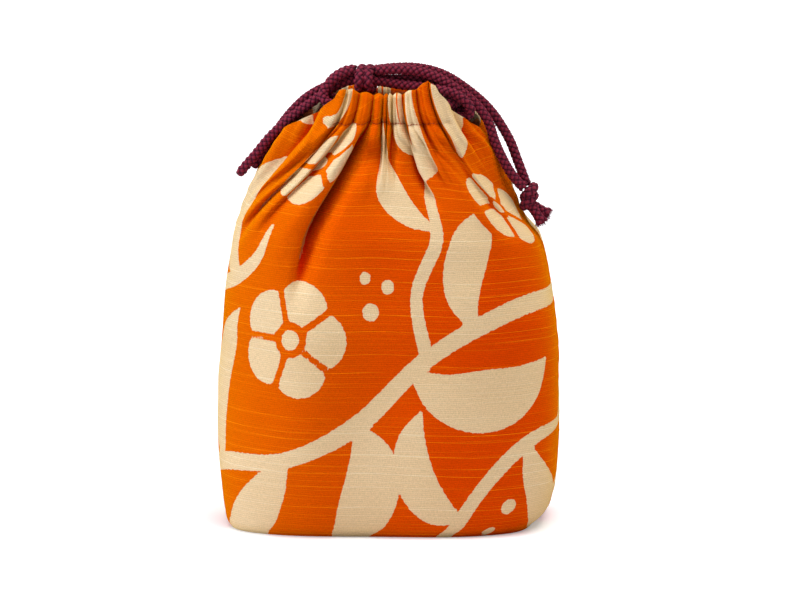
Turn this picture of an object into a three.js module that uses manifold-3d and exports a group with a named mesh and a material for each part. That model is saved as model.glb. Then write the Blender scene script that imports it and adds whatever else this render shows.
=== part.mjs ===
// Drawstring pouch: a soft cotton bag with a flat base, gathered shut at the mouth
// on two braided cords that run through a casing along its front and back edges.
// Millimetres, +Z up, front towards -Y, origin at the middle of the base.
import * as THREE from "three";
import Module from "manifold-3d";

// Cloth
const clothThickness = 1.2;

// Outline of the filled bag, from the table up to the shoulder
const baseWidth = 146;
const baseDepth = 84;
const footWidth = 156;
const footDepth = 94;
const footHeight = 7;
const bellyWidth = 165;
const bellyDepth = 102;
const bellyHeight = 46;
const chestWidth = 160;
const chestDepth = 100;
const chestHeight = 104;
const shoulderWidth = 149;
const shoulderDepth = 90;
const shoulderHeight = 139;

// Lean of the cloth, inwards for each millimetre up: at the shoulder, the notches and the casing
const shoulderLean = 0.22;
const notchLean = 0.75;
const casingLean = 0.3;
const casingEndLean = 0.1;

// How far the cloth keeps those leans, as shares of its way from the shoulder to the rim:
// the left shoulder is full, the right one turns in early
const leftShoulderReach = 0.3;
const rightShoulderReach = 0.08;
const rimReach = 0.36;

// The soft bag sags a little to its left, below and above the belly
const baseShift = -3;
const shoulderShift = -1;

// Squareness of the rings: 2 is an ellipse, more is boxier; stages run from the base to the shoulder
const baseSquareness = 4.4;
const shoulderSquareness = 2.6;
const roundedStage = 0.6;
const sagStage = 0.4;

// Mouth: the casing stands along the front and the back, its ends curl up by a rise that falls
// away fast, and the rim dips to a notch at each side
const mouthHeight = 208;
const casingRun = 42;
const mouthGap = 14;
const leftNotchReach = 52;
const rightNotchReach = 45.8;
const notchDrop = 20;
const frontLeftRise = 5;
const frontRightRise = 9;
const backRise = 2;
const riseFall = 4;
const notchShare = 0.05;

// Gathers: pleats at the mouth, and a few long folds below them
const pleatCount = 24;
const pleatDepth = 4.4;
const pleatRoundness = 0.8;
const pleatEndHeight = 160;
const pleatEndDrift = 12;
const pleatEndWaves = 3;
const foldFullAbove = 20;
const foldReleaseAbove = 30;
const longFolds = [
  { share: 0.68, depth: 8, halfWidth: 0.02, endHeight: 92 },
  { share: 0.735, depth: 3, halfWidth: 0.012, endHeight: 142 },
  { share: 0.805, depth: 4.5, halfWidth: 0.015, endHeight: 126 },
  { share: 0.93, depth: 5, halfWidth: 0.018, endHeight: 118 },
  { share: 0.09, depth: 5, halfWidth: 0.016, endHeight: 124 },
  { share: 0.2, depth: 6, halfWidth: 0.018, endHeight: 108 },
  { share: 0.31, depth: 4.5, halfWidth: 0.015, endHeight: 128 },
  { share: 0.41, depth: 5, halfWidth: 0.018, endHeight: 112 },
  { share: 0.57, depth: 5, halfWidth: 0.016, endHeight: 120 },
];

// Soft dents: the right shoulder gives way under the tied ends
const dents = [{ share: 0, height: 152, depth: 4.2, halfWidth: 0.075, halfHeight: 12 }];

// The pleats are of uneven width: they drift along the cloth in waves, by shares of its width
const pleatDrifts = [
  { share: 0.011, waves: 4 },
  { share: 0.005, waves: 6 },
];

// Cords
const cordDiameter = 4.5;
const touchGap = 0.3;
const cordSides = 8;
const cordStep = 5;

// Right cord: out of the casing at the right notch, over the mouth, through the half knot,
// and down the left shoulder to two plain ends
const rightCordFront = [
  [22.4, -10.75, 198.25], [26, -10.6, 198], [30, -8.9, 197.4], [33.8, -7.2, 197], [37, -6.8, 197.4],
  [38.8, -7.6, 199.4], [38.4, -8.8, 202.4], [35.6, -9, 205.6], [31.6, -7.6, 207.8], [25.8, -5.6, 209.2],
  [19.4, -4.2, 210.2], [12, -3.4, 211], [4, -2.8, 211.8], [-4, -2.5, 213],
  [-12, -2.5, 213.6], [-20, -2.1, 213], [-28.4, -2.2, 209], [-37.2, -2.6, 202.8], [-47.2, -2.2, 195.2],
  [-57, -1.2, 186.2], [-64.6, -1, 177], [-69.4, -0.8, 171.4], [-72.8, -0.6, 167],
];
const rightCordBack = [
  [22.4, 10.75, 198.25], [26, 10.7, 198.1], [30.6, 9.8, 198.6], [34.4, 8, 199.8], [36, 7, 202.8],
  [34.4, 7, 206.4], [30.2, 6.8, 209.4], [25.6, 6.2, 211.2], [19.8, 4.7, 212.6], [12, 3.1, 213.7], [4, 2.5, 213.6], [-4, 2.5, 213.4],
  [-12, 2.5, 213.5], [-20, 2.7, 213], [-29.6, 3.1, 210.2], [-39.4, 3.5, 204.9], [-47.4, 3.8, 197.4],
  [-55, 3.8, 187.4], [-61, 3.9, 177.8], [-66.4, 3.9, 170.2],
];

// Left cord: out of the casing at the left notch and up to the half knot
const leftCordFront = [
  [-22.4, -10.75, 203.05], [-26.4, -10.75, 202.8], [-30, -10, 204.4], [-31, -8.6, 208],
  [-29, -7.4, 211.8], [-25.2, -5.8, 215.2], [-20.8, -3.9, 217.5], [-16.9, -2.6, 218.2],
];
const leftCordBack = [
  [-22.4, 10.75, 203.05], [-26.4, 10.75, 202.8], [-30, 10, 204.4], [-31, 8.6, 208],
  [-29, 7.6, 211.8], [-25.2, 6, 215.2], [-20.8, 3.9, 217.5], [-16.9, 2.6, 218.2],
];

// Left cord beyond the half knot: over the mouth and down the right shoulder to the end knot
const rightTailFront = [
  [-6.7, -2.5, 218.2], [3, -2.5, 218.8], [12, -2.5, 218.4], [19.6, -2.5, 216.4], [25.4, -2.5, 213.8],
  [31.6, -2.6, 210], [37.8, -3, 205.6], [43.2, -3.6, 200.4], [47.4, -4.6, 194.2], [50, -5.8, 186.6],
  [53.4, -6.6, 178.8], [57.6, -6.6, 171.2], [61.2, -6, 166.2], [64.2, -5.4, 163],
];
const rightTailBack = [
  [-6.7, 2.5, 218.2], [3, 2.5, 219.2], [12.5, 2.5, 219.2], [21, 2.5, 217.6], [27.2, 2.5, 215.2],
  [33.2, 2.4, 211.6], [39.7, 2.4, 206.8], [45.2, 2.2, 202], [49.7, 2, 196.9], [53.7, 1.9, 191],
  [57.6, 1.8, 184], [60.8, 1.2, 175.8], [63.4, 0.2, 169.2], [65.5, -0.9, 163.9],
];

// Knots: middles, and the two frayed tips of the end knot
const topKnotMiddle = [-11.5, 0, 213.6];
const endKnotMiddle = [66.75, -3.4, 158.6];
const endKnotTips = [
  [[67.4, -4.4, 155], [70.2, -5.4, 151], [73, -6, 146.6]],
  [[67.8, -2.2, 155.5], [71.8, -1.8, 152.4], [75.8, -1.6, 150]],
];

// Resolution of the cloth
const columnsPerPleat = 6;
const columnCount = pleatCount * columnsPerPleat;
const normalStep = 0.1;

// Sizes that follow from the ones above
const cordRadius = cordDiameter / 2;
const tunnelWidth = cordDiameter + 2 * touchGap;
const tunnelHeight = 2 * cordDiameter + 3 * touchGap;
const crownThickness = 2 * clothThickness;
const tunnelTop = mouthHeight - crownThickness;
const tunnelBottom = tunnelTop - tunnelHeight;
const tunnelMiddle = mouthGap / 2 + clothThickness + tunnelWidth / 2;
const lowerCordHeight = tunnelBottom + touchGap + cordRadius;
const upperCordHeight = tunnelTop - touchGap - cordRadius;
const tunnelOverrun = 4;
const slotBottom = tunnelBottom - crownThickness;
const hemHeight = slotBottom - crownThickness;
const rimHeight = mouthHeight - crownThickness;
const notchHeight = mouthHeight - notchDrop;
const casingWall = 1.6 * clothThickness;
const rimHalfDepth = tunnelMiddle + tunnelWidth / 2 + casingWall + pleatDepth / 2;

const wasm = await Module();
wasm.setup();

const turn = 2 * Math.PI;
const mix = THREE.MathUtils.lerp;
const smooth = THREE.MathUtils.smoothstep;

// Share of the cloth's width at a pleat number
function shareAt(pleat) {
  const around = pleat / pleatCount;
  const drift = (sum, wave) => sum + wave.share * Math.sin(turn * wave.waves * around);
  return pleatDrifts.reduce(drift, around);
}

// Shortest distance between two shares round the bag
function shareDistance(a, b) {
  const apart = Math.abs(a - b) % 1;
  return Math.min(apart, 1 - apart);
}

// Rings of the lower bag are ovals, walked by length of cloth
function ovalWalk(halfWidth, halfDepth, squareness) {
  const cornerCount = 720;
  const power = 2 / squareness;
  const corners = [];
  const lengths = [0];
  for (let i = 0; i <= cornerCount; i += 1) {
    const angle = (turn * i) / cornerCount;
    const across = Math.sign(Math.cos(angle)) * Math.abs(Math.cos(angle)) ** power;
    const along = Math.sign(Math.sin(angle)) * Math.abs(Math.sin(angle)) ** power;
    corners.push(new THREE.Vector2(halfWidth * across, halfDepth * along));
    if (i > 0) lengths.push(lengths[i - 1] + corners[i].distanceTo(corners[i - 1]));
  }
  return (share) => {
    const target = (share - Math.floor(share)) * lengths[cornerCount];
    const next = Math.max(1, lengths.findIndex((length) => length >= target));
    const part = (target - lengths[next - 1]) / (lengths[next] - lengths[next - 1]);
    return corners[next - 1].clone().lerp(corners[next], part);
  };
}

const outline = new THREE.CatmullRomCurve3([
  new THREE.Vector3(baseWidth / 2, baseDepth / 2, 0),
  new THREE.Vector3(footWidth / 2, footDepth / 2, footHeight),
  new THREE.Vector3(bellyWidth / 2, bellyDepth / 2, bellyHeight),
  new THREE.Vector3(chestWidth / 2, chestDepth / 2, chestHeight),
  new THREE.Vector3(shoulderWidth / 2, shoulderDepth / 2, shoulderHeight),
]);
const shoulderWalk = ovalWalk(shoulderWidth / 2, shoulderDepth / 2, shoulderSquareness);

// The lower bag: a ring at a stage from 0, at the base, to 1, at the shoulder
function lowerRing(stage) {
  const station = outline.getPoint(stage);
  const squareness = mix(baseSquareness, shoulderSquareness, smooth(stage, 0, roundedStage));
  const walk = ovalWalk(station.x, station.y, squareness);
  const lowShift = mix(baseShift, 0, smooth(stage, 0, sagStage));
  const shift = lowShift + shoulderShift * smooth(stage, roundedStage, 1);
  return (share) => {
    const spot = walk(share);
    return new THREE.Vector3(spot.x + shift, spot.y, station.z);
  };
}

// The rim of the mouth: along both casings, whose ends curl up, then down to the notch at each side
function rimAt(share) {
  const around = share - Math.floor(share);
  const rightSide = around < 0.25 || around > 0.75 ? 1 : -1;
  const backSide = around < 0.5 ? 1 : -1;
  const frontRise = rightSide > 0 ? frontRightRise : frontLeftRise;
  const rise = backSide > 0 ? backRise : frontRise;
  const fromSeam = Math.min(shareDistance(around, 0), shareDistance(around, 0.5));
  if (fromSeam < notchShare) {
    const climb = fromSeam / notchShare;
    const x = mix(rightSide > 0 ? rightNotchReach : leftNotchReach, casingRun / 2, climb);
    const y = rimHalfDepth * Math.sin((climb * Math.PI) / 2);
    const z = mix(notchHeight, rimHeight, climb) + rise * climb ** riseFall;
    const inwards = mix(notchLean, casingEndLean, climb);
    const lean = new THREE.Vector3(-inwards * rightSide, -casingLean * backSide * climb, 1);
    return { spot: new THREE.Vector3(x * rightSide, y * backSide, z), lean: lean.normalize() };
  }
  const inward = (fromSeam - notchShare) / (0.25 - notchShare);
  const x = (casingRun / 2) * (1 - inward);
  const lean = new THREE.Vector3(casingEndLean * rightSide * (inward - 1), -casingLean * backSide, 1);
  const z = rimHeight + rise * (1 - inward) ** 2;
  const spot = new THREE.Vector3(x * rightSide, rimHalfDepth * backSide, z);
  return { spot, lean: lean.normalize() };
}

// The upper bag: from the shoulder, at stage 0, to the rim, at stage 1
function upperRing(stage) {
  return (share) => {
    const foot = shoulderWalk(share);
    const start = new THREE.Vector3(foot.x + shoulderShift, foot.y, shoulderHeight);
    const rim = rimAt(share);
    const outward = new THREE.Vector2(foot.x / shoulderWidth, foot.y / shoulderDepth).normalize();
    const startLean = new THREE.Vector3(-outward.x * shoulderLean, -outward.y * shoulderLean, 1);
    const shoulderReach = mix(leftShoulderReach, rightShoulderReach, Math.max(0, outward.x));
    const way = start.distanceTo(rim.spot);
    const first = start.clone().addScaledVector(startLean.normalize(), shoulderReach * way);
    const second = rim.spot.clone().addScaledVector(rim.lean, -rimReach * way);
    return new THREE.CubicBezierCurve3(start, first, second, rim.spot).getPoint(stage);
  };
}

// How far the cloth stands out (+) or in (-) at a pleat number and a height
function clothRelief(pleat, height) {
  const share = shareAt(pleat);
  const ridge = 2 * Math.sin(Math.PI * (pleat - Math.floor(pleat))) ** pleatRoundness - 1;
  const endHeight = pleatEndHeight + pleatEndDrift * Math.sin(turn * pleatEndWaves * share + 1);
  const pleats = (pleatDepth / 2) * ridge * smooth(height, endHeight, hemHeight);
  let folds = 0;
  for (const fold of longFolds) {
    const apart = shareDistance(share, fold.share) / fold.halfWidth;
    const strength = smooth(height, fold.endHeight, shoulderHeight + foldFullAbove);
    const release = 1 - smooth(height, shoulderHeight + foldReleaseAbove, hemHeight);
    folds -= fold.depth * Math.exp(-apart * apart) * strength * release;
  }
  for (const dent of dents) {
    const apart = shareDistance(share, dent.share) / dent.halfWidth;
    const above = (height - dent.height) / dent.halfHeight;
    folds -= dent.depth * Math.exp(-apart * apart - above * above);
  }
  return pleats + folds;
}

// One ring of cloth points; inset moves it inwards by a thickness
function clothRing(ring, step, inset) {
  const points = [];
  for (let column = 0; column < columnCount; column += step) {
    const pleat = column / columnsPerPleat;
    const spot = ring(shareAt(pleat));
    const ahead = ring(shareAt(pleat + normalStep));
    const behind = ring(shareAt(pleat - normalStep));
    const outward = new THREE.Vector3(ahead.y - behind.y, behind.x - ahead.x, 0).normalize();
    points.push(spot.addScaledVector(outward, clothRelief(pleat, spot.z) - inset));
  }
  return points;
}

// Inside the mouth the casing has a straight face; beside it the cloth is single
function slotRing(ring, height) {
  return clothRing(ring, 1, clothThickness).map((point) => {
    if (Math.abs(point.x) > casingRun / 2 || point.z < notchHeight) return point;
    return new THREE.Vector3(point.x, (Math.sign(point.y) * mouthGap) / 2, height(point));
  });
}

// The rounded top between the outer and the inner rim
function crownRing(outer, inner) {
  return outer.map((point, i) => {
    const middle = point.clone().lerp(inner[i], 0.5);
    const thickness = point.distanceTo(inner[i]);
    middle.z = Math.max(point.z, inner[i].z) + Math.min(crownThickness, thickness / 2);
    return middle;
  });
}

function bagGeometry() {
  const coarse = 2;
  const outer = [];
  for (const stage of [0, 0.12, 0.25, 0.38, 0.5, 0.62, 0.75, 0.87]) {
    outer.push(clothRing(lowerRing(stage), coarse, 0));
  }
  for (const stage of [0, 0.12, 0.24, 0.36, 0.48, 0.58, 0.68, 0.76, 0.84, 0.92, 1]) {
    outer.push(clothRing(upperRing(stage), 1, 0));
  }
  const slotBottomStage = 0.86;
  const slotTop = slotRing(upperRing(1), (point) => point.z);
  const slotFoot = slotRing(upperRing(slotBottomStage), () => slotBottom);
  const inner = [crownRing(outer[outer.length - 1], slotTop), slotTop, slotFoot];
  for (const stage of [0.76, 0.64, 0.52, 0.36, 0.2]) {
    inner.push(clothRing(upperRing(stage), 1, clothThickness));
  }
  for (const stage of [1, 0.75, 0.5, 0.25]) {
    inner.push(clothRing(lowerRing(stage), coarse, clothThickness));
  }
  const floor = clothRing(lowerRing(0), coarse, clothThickness);
  floor.forEach((point) => point.setZ(clothThickness));
  inner.push(floor);
  const underside = [new THREE.Vector3(0, 0, 0)];
  const inside = [new THREE.Vector3(0, 0, clothThickness)];
  return skin([underside, ...outer, ...inner, inside]);
}

// Joins rings of points, where each has as many points as the one before, or half, or double,
// or is a single point, into a closed skin
function skin(rings) {
  const corners = [];
  const face = (...points) => points.forEach((point) => corners.push(point.x, point.y, point.z));
  for (let r = 0; r + 1 < rings.length; r += 1) {
    const low = rings[r];
    const high = rings[r + 1];
    const count = Math.max(low.length, high.length);
    const lowStep = low.length / count;
    const highStep = high.length / count;
    for (let i = 0; i < count; i += 1) {
      const a = low[Math.floor(i * lowStep) % low.length];
      const b = low[Math.floor((i + 1) * lowStep) % low.length];
      const c = high[Math.floor((i + 1) * highStep) % high.length];
      const d = high[Math.floor(i * highStep) % high.length];
      if (a !== b) face(a, b, c);
      if (c !== d) face(a, c, d);
    }
  }
  const geometry = new THREE.BufferGeometry();
  geometry.setAttribute("position", new THREE.Float32BufferAttribute(corners, 3));
  return geometry;
}

// A solid for cutting and joining, from a closed geometry
function toSolid(geometry) {
  const position = geometry.getAttribute("position");
  const index = new Map();
  const vertProperties = [];
  const triVerts = [];
  for (let i = 0; i < position.count; i += 1) {
    const point = [position.getX(i), position.getY(i), position.getZ(i)];
    const key = point.map((value) => value.toFixed(4)).join();
    if (!index.has(key)) {
      index.set(key, index.size);
      vertProperties.push(...point);
    }
    triVerts.push(index.get(key));
  }
  return new wasm.Manifold(new wasm.Mesh({
    numProp: 3,
    vertProperties: new Float32Array(vertProperties),
    triVerts: new Uint32Array(triVerts),
  }));
}

function toGeometry(solid) {
  const mesh = solid.getMesh();
  const geometry = new THREE.BufferGeometry();
  geometry.setAttribute("position", new THREE.BufferAttribute(new Float32Array(mesh.vertProperties), 3));
  geometry.setIndex(new THREE.BufferAttribute(new Uint32Array(mesh.triVerts), 1));
  return geometry;
}

// The tunnel through one casing, open at both of its ends
function tunnelSolid(backSide) {
  const tunnel = new THREE.BoxGeometry(casingRun + 2 * tunnelOverrun, tunnelWidth, tunnelHeight);
  tunnel.translate(0, backSide * tunnelMiddle, (tunnelTop + tunnelBottom) / 2);
  return toSolid(tunnel.toNonIndexed());
}

const toPoints = (list) => list.map((point) => new THREE.Vector3(...point));

// A cord along a route of points
function cordGeometry(points) {
  const section = new THREE.Shape();
  for (let i = 0; i < cordSides; i += 1) {
    const angle = (turn * i) / cordSides;
    const x = cordRadius * Math.cos(angle);
    const y = cordRadius * Math.sin(angle);
    if (i === 0) section.moveTo(x, y);
    else section.lineTo(x, y);
  }
  const route = new THREE.CatmullRomCurve3(toPoints(points));
  const steps = Math.ceil(route.getLength() / cordStep);
  return new THREE.ExtrudeGeometry(section, { steps, bevelEnabled: false, extrudePath: route });
}

// One turn of cord in a knot: a closed loop round a middle, with its axis along X
function loopSolid(middle, halfDepth, halfHeight, lean) {
  const corners = [];
  const cornerCount = 12;
  const steps = 28;
  for (let i = 0; i < cornerCount; i += 1) {
    const angle = (turn * i) / cornerCount;
    const up = halfHeight * Math.sin(angle);
    corners.push([middle[0] + lean * up, middle[1] + halfDepth * Math.cos(angle), middle[2] + up]);
  }
  const route = new THREE.CatmullRomCurve3(toPoints(corners), true);
  return toSolid(new THREE.TubeGeometry(route, steps, cordRadius, cordSides, true).toNonIndexed());
}

// The half knot over the mouth: the left cord's two strands turn once round the right cord's pair
function topKnotSolid() {
  const [x, y, z] = topKnotMiddle;
  const turnSpacing = 0.95 * cordRadius;
  const halfHeight = 2 * cordRadius + 2 * touchGap;
  const halfDepth = 3 * cordRadius + 5 * touchGap;
  const first = loopSolid([x - turnSpacing, y, z], halfDepth, halfHeight, 0);
  return first.add(loopSolid([x + turnSpacing, y, z], halfDepth, halfHeight, 0));
}

// The end knot: both strands tied together in one overhand knot, with two short tips below it
function endKnotSolid() {
  const [x, y, z] = endKnotMiddle;
  const coreRadius = 1.6 * cordRadius;
  const coreHalfHeight = 2.6 * cordRadius;
  const loopOffset = 0.9 * cordRadius;
  const loopHalfDepth = 1.5 * cordRadius;
  const loopHalfHeight = 1.1 * cordRadius;
  const loopLean = 0.9;
  const core = new THREE.SphereGeometry(1, 16, 10);
  core.scale(coreRadius, coreRadius, coreHalfHeight);
  core.translate(x, y, z);
  let knot = toSolid(core.toNonIndexed());
  for (const offset of [-loopOffset, loopOffset]) {
    knot = knot.add(loopSolid([x, y, z + offset], loopHalfDepth, loopHalfHeight, loopLean));
  }
  for (const tip of endKnotTips) knot = knot.add(toSolid(cordGeometry(tip)));
  return knot;
}

// The stretch of a cord held in the casing: out and back through both tunnels, round the far notch
function casingRoute(exitSide, height) {
  const end = casingRun / 2;
  const straight = [1 + 1 / end, 0.5, 0, -0.5, -0.9].map((part) => exitSide * end * part);
  const route = straight.map((x) => [x, -tunnelMiddle, height]);
  const bendCount = 10;
  for (let i = 0; i <= bendCount; i += 1) {
    const angle = (Math.PI * i) / bendCount;
    const x = -exitSide * (end + tunnelMiddle * Math.sin(angle));
    route.push([x, -tunnelMiddle * Math.cos(angle), height]);
  }
  straight.reverse().forEach((x) => route.push([x, tunnelMiddle, height]));
  return route;
}

const cotton = new THREE.MeshStandardMaterial({ color: 0xd3500c, roughness: 0.85, metalness: 0 });
const braid = new THREE.MeshStandardMaterial({ color: 0x5a1a28, roughness: 0.8, metalness: 0 });

const pouch = new THREE.Group();

function addPiece(name, geometry, material) {
  const piece = new THREE.Mesh(geometry, material);
  piece.name = name;
  pouch.add(piece);
}

const bagSolid = toSolid(bagGeometry()).subtract(tunnelSolid(-1)).subtract(tunnelSolid(1));
addPiece("bag_body", toGeometry(bagSolid), cotton);
addPiece("right_cord_casing", cordGeometry(casingRoute(1, lowerCordHeight)), braid);
addPiece("left_cord_casing", cordGeometry(casingRoute(-1, upperCordHeight)), braid);
addPiece("right_cord_front", cordGeometry(rightCordFront), braid);
addPiece("right_cord_back", cordGeometry(rightCordBack), braid);
addPiece("left_cord_front", cordGeometry(leftCordFront), braid);
addPiece("left_cord_back", cordGeometry(leftCordBack), braid);
addPiece("right_tail_front", cordGeometry(rightTailFront), braid);
addPiece("right_tail_back", cordGeometry(rightTailBack), braid);
addPiece("top_knot", toGeometry(topKnotSolid()), braid);
addPiece("end_knot", toGeometry(endKnotSolid()), braid);

export default pouch;
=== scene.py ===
import math

import bpy
import numpy as np
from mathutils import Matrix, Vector


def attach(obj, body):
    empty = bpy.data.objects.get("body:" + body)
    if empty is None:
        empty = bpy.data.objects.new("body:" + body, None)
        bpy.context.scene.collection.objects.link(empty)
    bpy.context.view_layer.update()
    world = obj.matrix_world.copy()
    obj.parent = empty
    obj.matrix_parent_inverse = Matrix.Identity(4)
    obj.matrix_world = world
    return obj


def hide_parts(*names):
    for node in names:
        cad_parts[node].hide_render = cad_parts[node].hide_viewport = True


# Drawstring pouch of printed slub cotton, gathered shut on two braided cords.
# Sizes are in millimetres and become metres where a mesh is made; front is -Y.
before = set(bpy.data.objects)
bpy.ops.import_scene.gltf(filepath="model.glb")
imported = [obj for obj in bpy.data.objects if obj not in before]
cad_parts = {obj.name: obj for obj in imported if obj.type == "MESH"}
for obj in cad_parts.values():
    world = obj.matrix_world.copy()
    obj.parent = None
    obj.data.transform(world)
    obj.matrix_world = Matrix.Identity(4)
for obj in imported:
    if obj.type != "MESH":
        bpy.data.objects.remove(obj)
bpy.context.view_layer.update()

MM = 0.001
TURN = 2 * math.pi

# Cloth: its thickness and its length round the bag
cloth_thickness = 1.2
cloth_round = 470

# Shares go round the bag from 0 to 1, from the right side seam over the back, the left seam and the front
seam_to_middle = 0.25

# Outline of the filled bag: half width, half depth and height, from the table to the shoulder
outline = [(73, 42, 0), (78, 47, 7), (82.5, 51, 46), (80, 50, 104), (74.5, 45, 139)]
shoulder_width, shoulder_depth, shoulder_height = 149, 90, 139
base_shift, shoulder_shift = -3, -1
base_squareness, shoulder_squareness = 4.4, 2.6
rounded_stage, sag_stage = 0.6, 0.4

# Leans of the cloth and how far it keeps them on its way from the shoulder to the rim
shoulder_lean, notch_lean, casing_lean, casing_end_lean = 0.22, 0.75, 0.3, 0.1
left_shoulder_reach, right_shoulder_reach, rim_reach = 0.3, 0.08, 0.36

# Mouth
mouth_height = 208
casing_run = 42
mouth_gap = 14
left_notch_reach, right_notch_reach = 52, 45.8
notch_height = mouth_height - 20
notch_share = 0.05
front_left_rise, front_right_rise, back_rise = 5, 11, 2
back_left_swell, back_right_swell = 5, 6
rise_fall = 4
rise_nudges = np.linspace(-0.02, 0.02, 7)

# Gathers and folds
pleat_count = 24
pleat_depth = 4.4
pleat_roundness = 0.8
pleat_end_height, pleat_end_drift, pleat_end_waves = 160, 12, 3
pleat_drifts = [(-0.02, 4), (0.004, 6)]
fold_full_height, fold_shortest = shoulder_height + 20, 18
fold_release_low, fold_release_high = 176, 197

# Long folds: share round the bag, depth, half width as a share, lowest height, how far the valley
# slides along the cloth, so that one side hangs over it, and how far its foot drifts in share;
# a depth below 0 is a ridge
long_folds = [
    (0.525, 3, 0.009, 150, -2, -0.012),
    (0.553, 4.5, 0.0105, 146, -4, -0.022),
    (0.585, 6, 0.0105, 132, -5, -0.03),
    (0.618, 4, 0.011, 130, -4, -0.026),
    (0.648, -3, 0.014, 112, 0, -0.026),
    (0.68, 14, 0.0105, 102, -8, -0.024),
    (0.73, 4.5, 0.0095, 160, 2, 0.004),
    (0.768, 3.5, 0.0085, 164, -2, 0.006),
    (0.805, 5.5, 0.0105, 154, 3, 0.03),
    (0.85, 3.5, 0.011, 158, 3, 0.012),
    (0.886, -2.5, 0.014, 130, 0, 0.01),
    (0.915, 4.4, 0.015, 134, 1.5, 0.012),
    (0.957, 3.6, 0.014, 152, 1, 0.016),
    (0.09, 5, 0.016, 124, -2, 0.01),
    (0.2, 6, 0.018, 108, 2, 0.015),
    (0.31, 4.5, 0.015, 128, -2, -0.01),
    (0.41, 5, 0.018, 112, 3, 0.015),
]

# Soft dents: share, height, depth, half width as a share and half height; a depth below 0 is a bulge
dents = [
    (0.668, 76, -6, 0.05, 64),
    (0.714, 181, 3.5, 0.014, 5),
    (0.722, 170, -3, 0.03, 8),
    (0, 152, 4.2, 0.075, 12),
    (0, 183, -2.6, 0.06, 10),
    (0.5, 186, -2.2, 0.06, 16),
    (0.905, 4, 5, 0.06, 13),
]

# Cords
cord_diameter = 4.5
touch_gap = 0.3
right_cord_front = [
    (22.4, -10.75, 198.25), (26, -10.6, 198), (30, -8.9, 197.4), (33.8, -7.2, 197), (37, -6.8, 197.4),
    (38.8, -7.6, 199.4), (38.4, -8.8, 202.4), (35.6, -9, 205.6), (31.6, -7.6, 207.8),
    (25.8, -5.6, 209.2), (19.4, -4.2, 210.2), (12, -3.4, 211), (4, -2.8, 211.8), (-4, -2.5, 213),
    (-12, -2.5, 213.6), (-20, -2.1, 213), (-28.4, -2.2, 209), (-37.2, -2.6, 202.8),
    (-47.2, -2.2, 195.2), (-57, -1.2, 186.2), (-64.6, -1, 177), (-69.4, -0.8, 171.4),
    (-72.8, -0.6, 167),
]
right_cord_back = [
    (22.4, 10.75, 198.25), (26, 10.7, 198.1), (30.6, 9.8, 198.6), (34.4, 8, 199.8), (36, 7, 202.8),
    (34.4, 7, 206.4), (30.2, 6.8, 209.4), (25.6, 6.2, 211.2), (19.8, 4.7, 212.6), (12, 3.1, 213.7),
    (4, 2.5, 213.6), (-4, 2.5, 213.4), (-12, 2.5, 213.5), (-20, 2.7, 213), (-29.6, 3.1, 210.2),
    (-39.4, 3.5, 204.9), (-47.4, 3.8, 197.4), (-55, 3.8, 187.4), (-61, 3.9, 177.8), (-66.4, 3.9, 170.2),
]
left_cord_front = [
    (-22.4, -10.75, 203.05), (-26.4, -10.75, 202.8), (-30, -10, 204.4), (-31, -8.6, 208),
    (-29, -7.4, 211.8), (-25.2, -5.8, 215.2), (-20.8, -3.9, 217.5), (-16.9, -2.6, 218.2),
]
left_cord_back = [
    (-22.4, 10.75, 203.05), (-26.4, 10.75, 202.8), (-30, 10, 204.4), (-31, 8.6, 208), (-29, 7.6, 211.8),
    (-25.2, 6, 215.2), (-20.8, 3.9, 217.5), (-16.9, 2.6, 218.2),
]
right_tail_front = [
    (-6.7, -2.5, 218.2), (3, -2.5, 218.8), (12, -2.5, 218.4), (19.6, -2.5, 216.4), (25.4, -2.5, 213.8),
    (31.6, -2.6, 210), (37.8, -3, 205.6), (43.2, -3.6, 200.4), (47.4, -4.6, 194.2), (50, -5.8, 186.6),
    (53.4, -6.6, 178.8), (57.6, -6.6, 171.2), (61.2, -6, 166.2), (64.2, -5.4, 163),
]
right_tail_back = [
    (-6.7, 2.5, 218.2), (3, 2.5, 219.2), (12.5, 2.5, 219.2), (21, 2.5, 217.6), (27.2, 2.5, 215.2),
    (33.2, 2.4, 211.6), (39.7, 2.4, 206.8), (45.2, 2.2, 202), (49.7, 2, 196.9), (53.7, 1.9, 191),
    (57.6, 1.8, 184), (60.8, 1.2, 175.8), (63.4, 0.2, 169.2), (65.5, -0.9, 163.9),
]
top_knot_middle = (-11.5, 0, 213.6)
end_knot_middle = (66.75, -3.4, 158.6)
end_knot_tips = [
    [(67.4, -4.4, 155), (70.2, -5.4, 151), (73, -6, 146.6)],
    [(67.8, -2.2, 155.5), (71.8, -1.8, 152.4), (75.8, -1.6, 150)],
]

# Sizes that follow from the ones above
cord_radius = cord_diameter / 2
tunnel_width = cord_diameter + 2 * touch_gap
tunnel_height = 2 * cord_diameter + 3 * touch_gap
crown_thickness = 2 * cloth_thickness
rim_height = mouth_height - crown_thickness
tunnel_top = rim_height
tunnel_bottom = tunnel_top - tunnel_height
tunnel_middle = mouth_gap / 2 + cloth_thickness + tunnel_width / 2
lower_cord_height = tunnel_bottom + touch_gap + cord_radius
upper_cord_height = tunnel_top - touch_gap - cord_radius
slot_bottom = tunnel_bottom - crown_thickness
hem_height = slot_bottom - crown_thickness
rim_half_depth = tunnel_middle + tunnel_width / 2 + 1.6 * cloth_thickness + pleat_depth / 2
stitch_height = tunnel_bottom - 0.4


# Small tools

def mix(low, high, share):
    return low + (high - low) * share


def smooth(value, low, high):
    part = np.clip((value - low) / (high - low), 0, 1)
    return part * part * (3 - 2 * part)


def bell(away, half_width):
    """1 in the middle, falling softly to 0 on both sides."""
    return np.exp(-(away / half_width) ** 2)


def unit(vectors):
    return vectors / np.maximum(np.linalg.norm(vectors, axis=-1, keepdims=True), 1e-9)


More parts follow.
